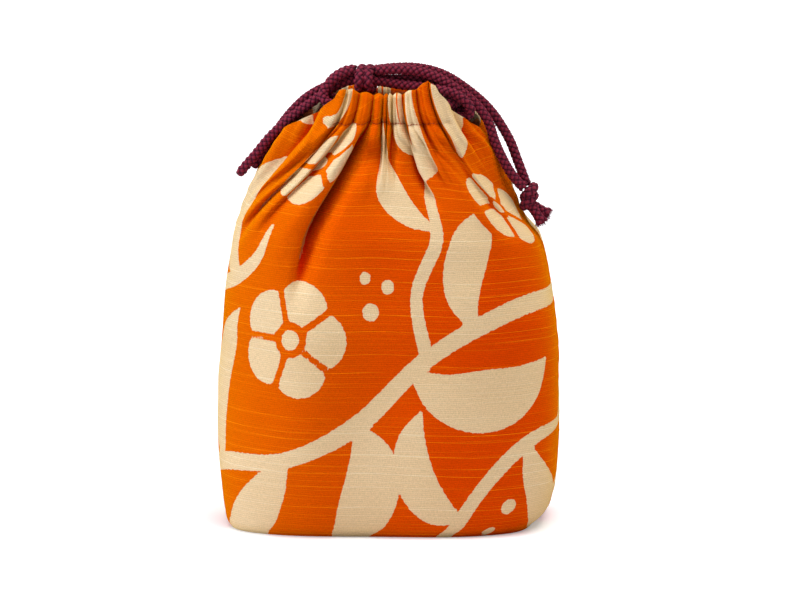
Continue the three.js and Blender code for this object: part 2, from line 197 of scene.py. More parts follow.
def spline(points, places):
    """Points of a smooth curve through points, at places from 0 to 1."""
    points = np.asarray(points, float)
    padded = np.vstack([2 * points[0] - points[1], points, 2 * points[-1] - points[-2]])
    place = np.clip(np.asarray(places, float), 0, 1) * (len(points) - 1)
    first = np.minimum(place.astype(int), len(points) - 2)
    part = (place - first)[:, None]
    a, b, c, d = (padded[first + k] for k in range(4))
    gap_0, gap_1, gap_2 = (
        np.sqrt(np.linalg.norm(q - p, axis=1, keepdims=True)) for p, q in ((a, b), (b, c), (c, d))
    )
    start = ((b - a) / gap_0 - (c - a) / (gap_0 + gap_1) + (c - b) / gap_1) * gap_1
    end = ((c - b) / gap_1 - (d - b) / (gap_1 + gap_2) + (d - c) / gap_2) * gap_1
    square = 3 * (c - b) - 2 * start - end
    cube = 2 * (b - c) + start + end
    return b + part * (start + part * (square + part * cube))


def even_path(points, step):
    """The same curve as points an even step apart."""
    dense = spline(points, np.linspace(0, 1, 60 * len(points)))
    length = np.concatenate([[0], np.cumsum(np.linalg.norm(np.diff(dense, axis=0), axis=1))])
    count = max(4, int(round(length[-1] / step)))
    at = np.linspace(0, length[-1], count + 1)
    return np.stack([np.interp(at, length, dense[:, k]) for k in range(3)], 1)


def soft_noise(along, up, cell, seed):
    """Smooth noise from -1 to 1 over the cloth in cells of that size; it closes round the bag."""
    around = round(cloth_round / cell)
    rows = 128
    grid = np.random.default_rng(seed).uniform(-1, 1, (rows, around))
    u = along / cloth_round * around
    v = up / cell + rows / 2
    column = np.floor(u).astype(int)
    row = np.floor(v).astype(int)
    left, right = column % around, (column + 1) % around
    low, high = row % rows, (row + 1) % rows
    across = smooth(u - column, 0, 1)
    over = smooth(v - row, 0, 1)
    lower = mix(grid[low, left], grid[low, right], across)
    upper = mix(grid[high, left], grid[high, right], across)
    return mix(lower, upper, over)


def new_mesh(name, points, faces, material, **point_values):
    """An object of a mesh; each of point_values is a number for each point, for the material to read."""
    mesh = bpy.data.meshes.new(name)
    mesh.from_pydata((np.asarray(points) * MM).tolist(), [], faces)
    mesh.polygons.foreach_set("use_smooth", [True] * len(mesh.polygons))
    mesh.materials.append(material)
    for value_name, values in point_values.items():
        attribute = mesh.attributes.new(value_name, "FLOAT", "POINT")
        attribute.data.foreach_set("value", np.asarray(values, np.float32))
    piece = bpy.data.objects.new(name, mesh)
    bpy.context.scene.collection.objects.link(piece)
    return piece


# Shape of the cloth

def share_at(pleat):
    """Share round the bag at a count of pleats, which are narrower in the middle of the casings."""
    around = pleat / pleat_count
    return around + sum(size * np.sin(TURN * waves * around) for size, waves in pleat_drifts)


def share_distance(a, b):
    """Shortest way round the bag between two shares."""
    apart = np.abs(a - b) % 1
    return np.minimum(apart, 1 - apart)


def oval(half_width, half_depth, squareness, share):
    """An oval walked by length of cloth."""
    angle = np.linspace(0, TURN, 721)
    power = 2 / squareness
    x = half_width * np.sign(np.cos(angle)) * np.abs(np.cos(angle)) ** power
    y = half_depth * np.sign(np.sin(angle)) * np.abs(np.sin(angle)) ** power
    length = np.concatenate([[0], np.cumsum(np.hypot(np.diff(x), np.diff(y)))])
    at = (share % 1) * length[-1]
    return np.interp(at, length, x), np.interp(at, length, y)


def lower_bag(stages, share):
    """Rows of points from the edge of the base to the shoulder."""
    rows = []
    for stage, (half_width, half_depth, height) in zip(stages, spline(outline, stages)):
        squareness = mix(base_squareness, shoulder_squareness, smooth(stage, 0, rounded_stage))
        low_shift = mix(base_shift, 0, smooth(stage, 0, sag_stage))
        shift = low_shift + shoulder_shift * smooth(stage, rounded_stage, 1)
        x, y = oval(half_width, half_depth, squareness, share)
        rows.append(np.stack([x + shift, y, np.full_like(x, height)], -1))
    return np.array(rows)


def seam_distance(share):
    """Share between a place and the nearer side seam."""
    return np.minimum(share_distance(share, 0), share_distance(share, 0.5))


def casing_place(from_seam):
    """Place along half a casing: 0 at its end and in the notch, 1 in its middle."""
    return np.clip((from_seam - notch_share) / (seam_to_middle - notch_share), 0, 1)


def rounded_rise(share):
    """How much of its rise the rim has: most near the ends of the casings, with a round top."""
    total = 0
    for nudge in rise_nudges:
        apart = seam_distance(share + nudge)
        climb = np.minimum(apart / notch_share, 1)
        inward = casing_place(apart)
        total = total + climb ** rise_fall * (1 - inward) ** 2
    return total / len(rise_nudges)


def rim(share):
    """Points of the mouth's rim and the lean of the cloth there."""
    around = share % 1
    right = np.where(share_distance(share, 0) < seam_to_middle, 1, -1)
    back = np.where(around < 0.5, 1, -1)
    climb = np.minimum(seam_distance(share) / notch_share, 1)
    inward = casing_place(seam_distance(share))
    reach = np.where(right > 0, right_notch_reach, left_notch_reach)
    rise = np.where(back > 0, back_rise, np.where(right > 0, front_right_rise, front_left_rise))
    x = mix(reach, casing_run / 2, climb) * (1 - inward) * right
    y = rim_half_depth * np.sin(climb * math.pi / 2) * back
    swell = np.where(back > 0, np.where(right > 0, back_right_swell, back_left_swell), 0)
    z = mix(notch_height, rim_height, climb)
    z = z + rise * rounded_rise(share) + swell * 4 * climb * (1 - climb)
    lean_x = -mix(notch_lean, casing_end_lean, climb) * right * (1 - inward)
    lean_y = -casing_lean * back * climb
    return np.stack([x, y, z], -1), unit(np.stack([lean_x, lean_y, np.ones_like(x)], -1))


def upper_bag(stages, share):
    """Rows of points from the shoulder to the rim, each column a curve that starts and ends at its lean."""
    x, y = oval(shoulder_width / 2, shoulder_depth / 2, shoulder_squareness, share)
    start = np.stack([x + shoulder_shift, y, np.full_like(x, shoulder_height)], -1)
    outward = unit(np.stack([x / shoulder_width, y / shoulder_depth], -1))
    start_lean = unit(np.concatenate([-shoulder_lean * outward, np.ones((len(x), 1))], -1))
    end, end_lean = rim(share)
    reach = mix(left_shoulder_reach, right_shoulder_reach, np.maximum(0, outward[:, :1]))
    way = np.linalg.norm(end - start, axis=-1, keepdims=True)
    first = start + start_lean * reach * way
    second = end - end_lean * rim_reach * way
    t = np.asarray(stages, float)[:, None, None]
    return (1 - t) ** 3 * start + 3 * t * (1 - t) ** 2 * first + 3 * t * t * (1 - t) * second + t ** 3 * end


def big_relief(pleat, height):
    """How far the gathers, folds and dents stand out, and how far they slide along the cloth."""
    share = share_at(pleat)
    ridge = 2 * np.sin(math.pi * (pleat % 1)) ** pleat_roundness - 1
    end_height = pleat_end_height + pleat_end_drift * np.sin(TURN * pleat_end_waves * share + 1)
    out = pleat_depth / 2 * ridge * smooth(height, end_height, hem_height)
    slide = np.zeros_like(height)
    for at, depth, half_width, low, overlap, drift in long_folds:
        middle = at + drift * (1 - smooth(height, low, fold_release_low))
        strength = bell(share_distance(share, middle), half_width)
        strength = strength * smooth(height, low, max(fold_full_height, low + fold_shortest))
        strength = strength * (1 - smooth(height, fold_release_low, fold_release_high))
        out = out - depth * strength
        slide = slide + overlap * strength
    for at, middle, depth, half_width, half_height in dents:
        out = out - depth * bell(share_distance(share, at), half_width) * bell(height - middle, half_height)
    return out, slide


# Each gather has a ridge, a crease beside it and a smaller split in it, of uneven sizes
gather_rng = np.random.default_rng(11)
ridge_size = gather_rng.uniform(-0.4, 1.4, pleat_count)
crease_depth = gather_rng.uniform(1.6, 3.8, pleat_count)
crease_end = gather_rng.uniform(158, 181, pleat_count)
split_depth = gather_rng.uniform(0.6, 2.4, pleat_count)
split_place = gather_rng.uniform(0.38, 0.62, pleat_count)
crease_half_width, split_half_width = 0.15, 0.11
casing_crease_depth = 1.3
crease_waver, waver_cell = 0.5, 31
ridge_start, split_start = 172, 176

# Stitched casing: a groove along the stitches and a soft puff above and below it
stitch_wander = 0.8
groove_depth, groove_half_height = 1.3, 1.2
puff_away = 6
upper_puff, upper_puff_half_height = 0.9, 3.6
lower_puff, lower_puff_half_height = 1.1, 4

# Unevenness of the filled cloth: a broad one and a finer one, from just above the base
uneven_start, uneven_full = 8, 40
broad_unevenness, broad_cell = 1.1, 47
finer_unevenness, finer_cell = 0.5, 23.5

# Side seams: a shallow groove with puckers beside it
seam_depth, seam_half_width = 0.5, 1.3
pucker_size, pucker_length, pucker_half_width = 0.25, 9, 5

# Columns round the bag that a point is set against, and the depths below them where the painted shade of a
# fold starts and is full
hollow_reach = 12
hollow_start, hollow_full = 1.0, 4.8


def stitch_at(share):
    """Height of the casing's stitch line, which wanders a little."""
    return stitch_height + stitch_wander * np.sin(TURN * 7 * share) * np.sin(TURN * 11 * share + 1)


def fine_relief(pleat, height, along, up):
    """Creases of the gathers, the stitched casing, seams and the soft unevenness of the cloth."""
    share = share_at(pleat)
    casing = smooth(seam_distance(share), 0.7 * notch_share, notch_share)
    waver = crease_waver * soft_noise(along, 1.4 * up, waver_cell, 8)
    pleat = pleat + waver * (1 - smooth(height, split_start, stitch_height))
    number = np.floor(pleat).astype(int) % pleat_count
    nearest = np.round(pleat).astype(int) % pleat_count
    part = pleat % 1
    gathered = smooth(height, ridge_start, hem_height)
    out = gathered * np.sin(math.pi * part) * ridge_size[number]
    split = bell(part - split_place[number], split_half_width)
    out = out - split * split_depth[number] * smooth(height, split_start, hem_height)
    crease = bell(pleat - np.round(pleat), crease_half_width)
    below = smooth(height, crease_end[nearest], hem_height)
    in_casing = smooth(height, hem_height, stitch_height + 3)
    out = out - crease * below * mix(crease_depth[nearest], casing_crease_depth, in_casing)
    above = height - stitch_at(share)
    out = out - groove_depth * casing * bell(above, groove_half_height)
    out = out + upper_puff * casing * bell(above - puff_away, upper_puff_half_height)
    out = out + lower_puff * casing * bell(above + puff_away, lower_puff_half_height)
    broad = broad_unevenness * soft_noise(along, up, broad_cell, 3)
    finer = finer_unevenness * soft_noise(along, 1.6 * up, finer_cell, 4)
    out = out + smooth(height, uneven_start, uneven_full) * (broad + finer)
    from_seam = seam_distance(share) * cloth_round
    pucker = pucker_size * np.sin(TURN * up / pucker_length) * bell(from_seam, pucker_half_width)
    return out - seam_depth * bell(from_seam, seam_half_width) + pucker


def cloth_rows(lower_stages, upper_stages, pleats):
    """Plain rows of the bag at these stages, with the ways out of and along the cloth and its flat height."""
    def rows(shift):
        share = share_at(pleats + shift)
        return np.concatenate([lower_bag(lower_stages, share), upper_bag(upper_stages, share)])
    spot = rows(0)
    ahead = unit((rows(0.1) - rows(-0.1)) * (1, 1, 0))
    outward = np.stack([ahead[..., 1], -ahead[..., 0], np.zeros_like(ahead[..., 0])], -1)
    steps = np.linalg.norm(np.diff(spot, axis=0), axis=-1)
    up = np.concatenate([np.zeros((1, len(pleats))), np.cumsum(steps, 0)])
    return spot, outward, ahead, up


def cloth_points(spot, outward, ahead, up, pleats, inset):
    """Points of the cloth, and how deep each lies between its neighbours round the bag, from 0 to 1, which
    sets the painted shade of the folds.
    """
    out, slide = big_relief(pleats, spot[..., 2])
    along = np.broadcast_to(share_at(pleats) * cloth_round, up.shape)
    out = out + fine_relief(pleats, spot[..., 2], along, up)
    around = np.mean([np.roll(out, step, 1) for step in range(-hollow_reach, hollow_reach + 1)], axis=0)
    hollow = smooth(around - out, hollow_start, hollow_full)
    points = spot + outward * (out - inset)[..., None] + ahead * slide[..., None]
    return points, hollow


# Print

# Cream brush strokes, each a run of (along, up, half width), on a tile that fits twice round the bag
tile = cloth_round / 2
stems = [
    [
        (-14, 22, 4), (30, 34, 4.4), (70, 40, 3.8), (105, 58, 4.6),
        (140, 90, 4), (185, 112, 4.4), (249, 118, 3.8),
    ],
    [(14, 118, 3.8), (34, 124, 4), (47, 135, 3.2), (52, 150, 1)],
    [(150, -44, 3.6), (152, -5, 4), (165, 25, 3.4), (190, 48, 3.6), (222, 56, 2.4)],
    [(140, 90, 3.6), (136, 120, 3.2), (150, 150, 3.6), (150, 185, 3.4), (140, 230, 4)],
]
leaves = [
    [(105, 58, 1.5), (113, 38, 12), (108, 14, 13), (92, -12, 0.4)],
    [(132, 84, 1.5), (150, 72, 11), (170, 70, 15), (190, 76, 10), (206, 88, 0.4)],
    [(165, 104, 1.5), (160, 122, 9), (166, 140, 11), (178, 154, 6), (188, 164, 0.4)],
    [(148, 152, 1.5), (134, 160, 7), (122, 172, 10), (114, 188, 7), (110, 206, 0.4)],
    [(34, 124, 1.5), (20, 135, 8), (10, 151, 10), (7, 169, 7), (13, 188, 0.4)],
    [(30, 34, 1.5), (22, 52, 9), (20, 72, 13), (28, 92, 9), (40, 110, 0.4)],
    [(70, 40, 1.5), (60, 24, 9), (50, 10, 12), (36, -4, 8), (18, -14, 0.4)],
    [(158, 12, 1.5), (144, 18, 8), (134, 32, 10), (132, 50, 7), (137, 66, 0.4)],
    [(190, 48, 1.5), (198, 30, 9), (210, 16, 12), (224, 4, 8), (238, -12, 0.4)],
    [(222, 56, 2), (232, 62, 7), (242, 74, 0.4)],
    [(150, 176, 1.5), (160, 190, 8), (164, 208, 9), (160, 230, 6)],
    [(150, 186, 1.5), (138, 198, 6), (128, 214, 8), (122, 238, 5)],
    [(20, 214, 1.5), (30, 218, 6), (37, 230, 7), (38, 248, 4)],
    [(12, 208, 1.5), (4, 216, 6), (0, 230, 7), (2, 248, 4)],
    [(206, 196, 1.5), (214, 206, 6), (218, 222, 8), (214, 240, 4)],
]

# Blossoms and berries: along, up and radius
blossoms = [(72, 98, 28), (206, 164, 22), (56, 186, 24)]
berries = [(112, 112, 4.2), (121, 124, 3.4), (109, 128, 3), (182, 18, 4), (176, 4, 3.2)]
petal_count, petal_gap = 5, 1.6

# Shares of a blossom's radius: the dip between petals, the open ring, its dot, and the ground kept clear
petal_dip, ring_share, dot_share, clear_share = 0.22, 0.3, 0.17, 1.25


def stroke_distance(along, up, stroke):
    """Distance outside a brush stroke, negative in it."""
    line = spline(stroke, np.linspace(0, 1, 10 * (len(stroke) - 1) + 1))
    best = np.full(along.shape, 1e3)
    for (s0, t0, r0), (s1, t1, r1) in zip(line[:-1], line[1:]):
        run_s, run_t = s1 - s0, t1 - t0
        part = np.clip(((along - s0) * run_s + (up - t0) * run_t) / (run_s ** 2 + run_t ** 2), 0, 1)
        gap = np.hypot(along - s0 - part * run_s, up - t0 - part * run_t) - mix(r0, r1, part)
        best = np.minimum(best, gap)
    return best


def blossom_distance(along, up, middle_s, middle_t, size):
    """Distance from round petals about an open ring with a dot in it, negative in them."""
    angle = np.arctan2(up - middle_t, along - middle_s)
    reach = np.hypot(along - middle_s, up - middle_t)
    in_petal = np.abs(np.cos(petal_count / 2 * angle))
    petal = size * (1 - petal_dip + petal_dip * in_petal ** 0.7)
    between = in_petal * reach / (petal_count / 2)
    petals = np.maximum(np.maximum(reach - petal, ring_share * size - reach), petal_gap - between)
    return np.minimum(petals, reach - dot_share * size)


def print_distance(along, up):
    """Distance from the edge of the cream print, negative in it."""
    inside_tile = along % tile
    best = np.full(along.shape, 1e3)
    for shift in (-tile, 0, tile):
        s = inside_tile + shift
        for stroke in stems + leaves:
            best = np.minimum(best, stroke_distance(s, up, stroke))
        for middle_s, middle_t, size in berries:
            best = np.minimum(best, np.hypot(s - middle_s, up - middle_t) - size)
        for middle_s, middle_t, size in blossoms:
            clearing = clear_share * size - np.hypot(s - middle_s, up - middle_t)
            best = np.maximum(best, clearing)
            best = np.minimum(best, blossom_distance(s, up, middle_s, middle_t, size))
    return best


# Materials

# Dye, and the dye yellowed by a painted highlight, each for the deep and the light tone of the uneven colour
deep_orange, painted_highlight_deep_orange = (0.63, 0.04, 0.0003), (0.63, 0.094, 0.0003)
light_orange, painted_highlight_light_orange = (0.71, 0.053, 0.0005), (0.71, 0.122, 0.0005)
deep_cream, light_cream = (0.7, 0.48, 0.255), (0.77, 0.56, 0.33)
orange_slub, cream_slub = (0.93, 0.22, 0.004), (0.9, 0.75, 0.5)
# Inside faces: the colour mixed towards a dark brown, partly for the reverse of the print and partly as
# painted shade inside the mouth
reverse_and_shade_tint, reverse_and_shade_share = (0.3, 0.16, 0.1), 0.45
cloth_sheen, cloth_sheen_tint = 0.42, (1, 0.6, 0)

# Painted highlight: the orange is yellowed most at the left side seam, where the key light falls, and a
# little towards the mouth, where the light from above falls
side_painted_highlight_power = 4
mouth_painted_highlight, mouth_painted_highlight_start, mouth_painted_highlight_full = 0.45, 105, 170

# Painted shade: what is left of the colours deep in a fold
orange_in_hollows, cream_in_hollows = (0.82, 0.14, 0.6), (0.98, 0.9, 0.78)

# Slub threads: height of the cell that holds one, half width, share of cells that have one, and strength;
# then how quickly along the cloth they drift, swell and end
strong_slub = (5.4, 0.21, 0.85, 0.7)
faint_slub = (2.3, 0.16, 0.75, 0.35)
slub_drift, slub_swell, slub_run = 0.02, 0.05, 0.011

# Weave: spacing of its ribs, how far ribs, warp and grain change the colour, and the bump that they make
rib_spacing = 0.95
rib_contrast, warp_contrast, grain_contrast = 0.07, 0.07, 0.14
weave_bump, weave_bump_height = 0.55, 0.3
print_raggedness, print_softness = 0.28, 0.16

# Yarn deep in the braid, in painted shade, and outermost
cord_painted_shade, cord_light = (0.065, 0.007, 0.019), (0.25, 0.019, 0.041)
thread_dark, thread_light = (0.3, 0.03, 0.006), (0.5, 0.06, 0.01)
cord_sheen, cord_sheen_tint = 0.06, (0.8, 0.25, 0.35)
fibre_scale, fibre_contrast, darkest_crest = 2600, 0.15, 0.22
fibre_bump, fibre_bump_height = 0.5, 0.2


def new_material(name):
    material = bpy.data.materials.new(name)
    material.use_nodes = True
    tree = material.node_tree
    tree.nodes.clear()
    output = tree.nodes.new("ShaderNodeOutputMaterial")
    shader = tree.nodes.new("ShaderNodeBsdfPrincipled")
    tree.links.new(shader.outputs["BSDF"], output.inputs["Surface"])
    return material, tree, shader


def feed(tree, socket, value):
    """Gives a socket a constant or the output of another node."""
    if isinstance(value, bpy.types.NodeSocket):
        tree.links.new(value, socket)
    else:
        socket.default_value = value


def math_node(tree, operation, *values):
    node = tree.nodes.new("ShaderNodeMath")
    node.operation = operation
    for socket, value in zip(node.inputs, values):
        feed(tree, socket, value)
    return node.outputs[0]


def plus(tree, a, b):
    return math_node(tree, "ADD", a, b)


def times(tree, a, b):
    return math_node(tree, "MULTIPLY", a, b)


def ramp_node(tree, value, low, high, out_low=0.0, out_high=1.0):
    """Goes smoothly from out_low to out_high while value goes from low to high."""
    node = tree.nodes.new("ShaderNodeMapRange")
    node.interpolation_type = "SMOOTHSTEP"
    feed(tree, node.inputs["Value"], value)
    node.inputs["From Min"].default_value = low
    node.inputs["From Max"].default_value = high
    node.inputs["To Min"].default_value = out_low
    node.inputs["To Max"].default_value = out_high
    return node.outputs["Result"]


def join_node(tree, x, y, z=0.0):
    node = tree.nodes.new("ShaderNodeCombineXYZ")
    for socket, value in zip(node.inputs, (x, y, z)):
        feed(tree, socket, value)
    return node.outputs[0]


def noise_node(tree, vector, scale, detail=2.0, roughness=0.5):
    node = tree.nodes.new("ShaderNodeTexNoise")
    feed(tree, node.inputs["Vector"], vector)
    node.inputs["Scale"].default_value = scale
    node.inputs["Detail"].default_value = detail
    node.inputs["Roughness"].default_value = roughness
    return node.outputs["Fac"]


def random_node(tree, x, y):
    """A number from 0 to 1 that is fixed for each pair of x and y."""
    node = tree.nodes.new("ShaderNodeTexWhiteNoise")
    node.noise_dimensions = "2D"
    feed(tree, node.inputs["Vector"], join_node(tree, x, y))
    return node.outputs["Value"]


def colour_mix(tree, share, low, high, blend="MIX"):
    """Blends two colours by a share."""
    node = tree.nodes.new("ShaderNodeMix")
    node.data_type = "RGBA"
    node.blend_type = blend
    feed(tree, node.inputs["Factor"], share)
    ends = [socket for socket in node.inputs if socket.type == "RGBA"]
    for socket, colour in zip(ends, (low, high)):
        feed(tree, socket, (*colour, 1) if isinstance(colour, tuple) else colour)
    return next(socket for socket in node.outputs if socket.type == "RGBA")


def attribute_node(tree, name):
    node = tree.nodes.new("ShaderNodeAttribute")
    node.attribute_name = name
    return node.outputs["Fac"]


def bump_node(tree, shader, height, strength, distance):
    bump = tree.nodes.new("ShaderNodeBump")
    bump.inputs["Strength"].default_value = strength
    bump.inputs["Distance"].default_value = distance * MM
    feed(tree, bump.inputs["Height"], height)
    feed(tree, shader.inputs["Normal"], bump.outputs["Normal"])


def set_sheen(shader, weight, roughness, tint):
    shader.inputs["Sheen Weight"].default_value = weight
    shader.inputs["Sheen Roughness"].default_value = roughness
    shader.inputs["Sheen Tint"].default_value = (*tint, 1)


def slub_lines(tree, along, up, kind, seed):
    """Thick-and-thin weft threads: one to a cell of the height, some missing, each of a limited run."""
    cell, half_width, present, strength = kind
    drift = noise_node(tree, join_node(tree, times(tree, along, slub_drift), seed), 1, 1)
    height = plus(tree, math_node(tree, "DIVIDE", up, cell), times(tree, drift, 0.6))
    number = math_node(tree, "FLOOR", height)
    place = math_node(tree, "FRACT", height)
    middle = ramp_node(tree, random_node(tree, number, seed), 0, 1, 0.25, 0.75)
    away = math_node(tree, "ABSOLUTE", math_node(tree, "SUBTRACT", place, middle))
    swell = noise_node(tree, join_node(tree, times(tree, along, slub_swell), times(tree, number, 7.3)), 1)
    width = times(tree, ramp_node(tree, swell, 0.3, 0.7, 0.5, 1.3), half_width)
    line = ramp_node(tree, math_node(tree, "DIVIDE", times(tree, away, cell), width), 0.5, 1.3, 1, 0)
    kept = math_node(tree, "LESS_THAN", random_node(tree, number, seed + 5.5), present)
    run = noise_node(tree, join_node(tree, times(tree, along, slub_run), times(tree, number, 3.7)), 1, 1)
    shown = ramp_node(tree, run, 0.36, 0.5)
    return times(tree, times(tree, times(tree, line, kept), shown), strength)


def cloth_colour(tree, along, up, flat, slub):
    """Orange and cream of the print, with uneven dye, slubs, a painted yellow highlight towards the left side
    and the mouth, and painted shade in the folds.
    """
    ragged = ramp_node(tree, noise_node(tree, flat, 0.55), 0.2, 0.8, -print_raggedness, print_raggedness)
    edge = plus(tree, attribute_node(tree, "print_edge"), ragged)
    cream = ramp_node(tree, edge, -print_softness, print_softness, 1, 0)
    wash = noise_node(tree, flat, 0.03, 3)
    # painted highlight: a yellower orange towards the left side seam and the mouth stands in for the light
    # that falls there
    side_painted_highlight = math_node(tree, "SINE", times(tree, along, math.pi / cloth_round))
    side_painted_highlight = math_node(tree, "POWER", side_painted_highlight, side_painted_highlight_power)
    upper_painted_highlight = ramp_node(tree, up, mouth_painted_highlight_start, mouth_painted_highlight_full, 0, mouth_painted_highlight)
    painted_highlight = math_node(tree, "MAXIMUM", side_painted_highlight, upper_painted_highlight)
    deep = colour_mix(tree, painted_highlight, deep_orange, painted_highlight_deep_orange)
    light = colour_mix(tree, painted_highlight, light_orange, painted_highlight_light_orange)
    orange = colour_mix(tree, wash, deep, light)
    orange = colour_mix(tree, times(tree, slub, 0.75), orange, orange_slub)
    pale = colour_mix(tree, wash, deep_cream, light_cream)
    pale = colour_mix(tree, times(tree, slub, 0.7), pale, cream_slub)
    colour = colour_mix(tree, cream, orange, pale)
    # painted shade: deep in a fold the orange turns a darker red and the cream a little darker, in place of
    # the shade that falls there
    left_in_hollows = colour_mix(tree, cream, orange_in_hollows, cream_in_hollows)
    shaded = colour_mix(tree, 1, colour, left_in_hollows, "MULTIPLY")
    return colour_mix(tree, attribute_node(tree, "hollow"), colour, shaded)


def cloth_material():
    material, tree, shader = new_material("slub cotton")
    split = tree.nodes.new("ShaderNodeSeparateXYZ")
    feed(tree, split.inputs[0], tree.nodes.new("ShaderNodeUVMap").outputs["UV"])
    along, up = split.outputs["X"], split.outputs["Y"]
    flat = join_node(tree, along, up)

    strong = slub_lines(tree, along, up, strong_slub, 1.7)
    faint = slub_lines(tree, along, up, faint_slub, 9.2)
    slub = math_node(tree, "MINIMUM", plus(tree, strong, faint), 1)
    waver = times(tree, noise_node(tree, flat, 0.25, 1), 9)
    rib = math_node(tree, "SINE", plus(tree, times(tree, up, TURN / rib_spacing), waver))
    warp = noise_node(tree, join_node(tree, times(tree, along, 2.2), times(tree, up, 0.5)), 1, 1)
    grain = noise_node(tree, flat, 2.6, 2, 0.7)

    colour = cloth_colour(tree, along, up, flat, slub)
    warp_tone = ramp_node(tree, warp, 0.25, 0.75, -warp_contrast, warp_contrast)
    grain_tone = ramp_node(tree, grain, 0.25, 0.75, 1 - grain_contrast, 1 + grain_contrast)
    weave = plus(tree, plus(tree, times(tree, rib, rib_contrast), warp_tone), grain_tone)
    colour = colour_mix(tree, 1, colour, join_node(tree, weave, weave, weave), "MULTIPLY")
    # inside faces: the reverse of the print, darkened as painted shade inside the mouth
    reverse_and_shade = colour_mix(tree, reverse_and_shade_share, colour, reverse_and_shade_tint)
    colour = colour_mix(tree, attribute_node(tree, "inside"), colour, reverse_and_shade)
    feed(tree, shader.inputs["Base Color"], colour)

    relief = plus(tree, times(tree, rib, 0.3), times(tree, grain, 0.8))
    relief = plus(tree, times(tree, slub, 0.9), relief)
    bump_node(tree, shader, relief, weave_bump, weave_bump_height)
    feed(tree, shader.inputs["Roughness"], ramp_node(tree, grain, 0.2, 0.8, 0.75, 0.9))
    shader.inputs["Specular IOR Level"].default_value = 0
    set_sheen(shader, cloth_sheen, 0.45, cloth_sheen_tint)
    return material


def cord_material(name, dark, light):
    """Yarn with painted shade where it dives under its neighbours, with fine fibres."""
    material, tree, shader = new_material(name)
    place = tree.nodes.new("ShaderNodeTexCoord").outputs["Object"]
    fibre = noise_node(tree, place, fibre_scale, 2, 0.7)
    fibre_tone = ramp_node(tree, fibre, 0.25, 0.75, -fibre_contrast, fibre_contrast)
    # painted shade: the colour goes towards the dark one where the crest is low, deep in the braid
    share = ramp_node(tree, plus(tree, fibre_tone, attribute_node(tree, "crest")), darkest_crest, 1)
    feed(tree, shader.inputs["Base Color"], colour_mix(tree, share, dark, light))
    bump_node(tree, shader, fibre, fibre_bump, fibre_bump_height)
    shader.inputs["Roughness"].default_value = 0.65
    shader.inputs["Specular IOR Level"].default_value = 0.1
    set_sheen(shader, cord_sheen, 0.4, cord_sheen_tint)
    return material


cotton = cloth_material()
braid_yarn = cord_material("braided yarn", cord_painted_shade, cord_light)
sewing_thread = cord_material("sewing thread", thread_dark, thread_light)


# Camera: in front of the bag, a little to the right of it and above it

camera_yaw = math.radians(4)
camera_rise = math.radians(10)
camera_distance = 2.0
photo_scale = 0.481 * MM
photo_width = 800
aim = Vector((4.8 * MM, 0.3 * MM, 107 * MM))

camera_data = bpy.data.cameras.new("camera")
camera = bpy.data.objects.new("camera", camera_data)
bpy.context.scene.collection.objects.link(camera)
back = Vector((
    math.sin(camera_yaw) * math.cos(camera_rise),
    -math.cos(camera_yaw) * math.cos(camera_rise),
    math.sin(camera_rise),
))
camera.location = aim + back * camera_distance
camera.rotation_euler = back.to_track_quat("Z", "Y").to_euler()
camera_data.sensor_width = 36
camera_data.lens = camera_data.sensor_width * camera_distance / (photo_scale * photo_width)
bpy.context.scene.camera = camera


# Cords: eight yarns braided one over one about a core

carrier_count = 8
braid_pitch = 11.4
yarn_ring = 1.46
yarn_wave = 0.46
yarn_half_width = 0.98
yarn_half_thickness = 0.64
yarn_sides = 6
core_radius = 1.3
braid_step = 0.3
sealed_run = 0.8 * cord_radius
flare_run, tip_flare = 5, 0.35


def frames_along(path, closed):
    """Two ways across the path at each point, turning as little as they can."""
    if closed:
        ahead = unit(np.roll(path, -1, 0) - np.roll(path, 1, 0))
    else:
        ahead = unit(np.gradient(path, axis=0))
    side = np.cross(ahead[0], (0.3, 1, 0.2))
    sides = []
    for way in ahead:
        side = side - way * np.dot(side, way)
        side = side / np.linalg.norm(side)
        sides.append(side)
    sides = np.array(sides)
    return sides, np.cross(ahead, sides)


def tube_faces(rings, sides, closed):
    """Faces of a tube of rings of points, joined end to end if it is closed and capped if not."""
    faces = []
    for ring in range(rings if closed else rings - 1):
        here, there = ring * sides, (ring + 1) % rings * sides
        for k in range(sides):
            faces.append((here + k, here + (k + 1) % sides, there + (k + 1) % sides, there + k))
    if not closed:
        faces.append(tuple(reversed(range(sides))))
        faces.append(tuple((rings - 1) * sides + k for k in range(sides)))
    return faces


def plain_tube(path, radius, across, upward, sides, crest, closed=False):
    """Points, faces and crests of a round tube along a path."""
    rings = np.empty((len(path), sides, 3))
    for k in range(sides):
        turn = TURN * k / sides
        rings[:, k] = path + radius * (math.cos(turn) * across + math.sin(turn) * upward)
    points = rings.reshape(-1, 3)
    return points, tube_faces(len(path), sides, closed), np.full(len(points), crest)


def joined(parts):
    """Points, faces and crests of several parts as one."""
    points, faces, crests, start = [], [], [], 0
    for part_points, part_faces, part_crests in parts:
        points.append(part_points)
        crests.append(part_crests)
        faces += [tuple(k + start for k in face) for face in part_faces]
        start += len(part_points)
    return np.concatenate(points), faces, np.concatenate(crests)


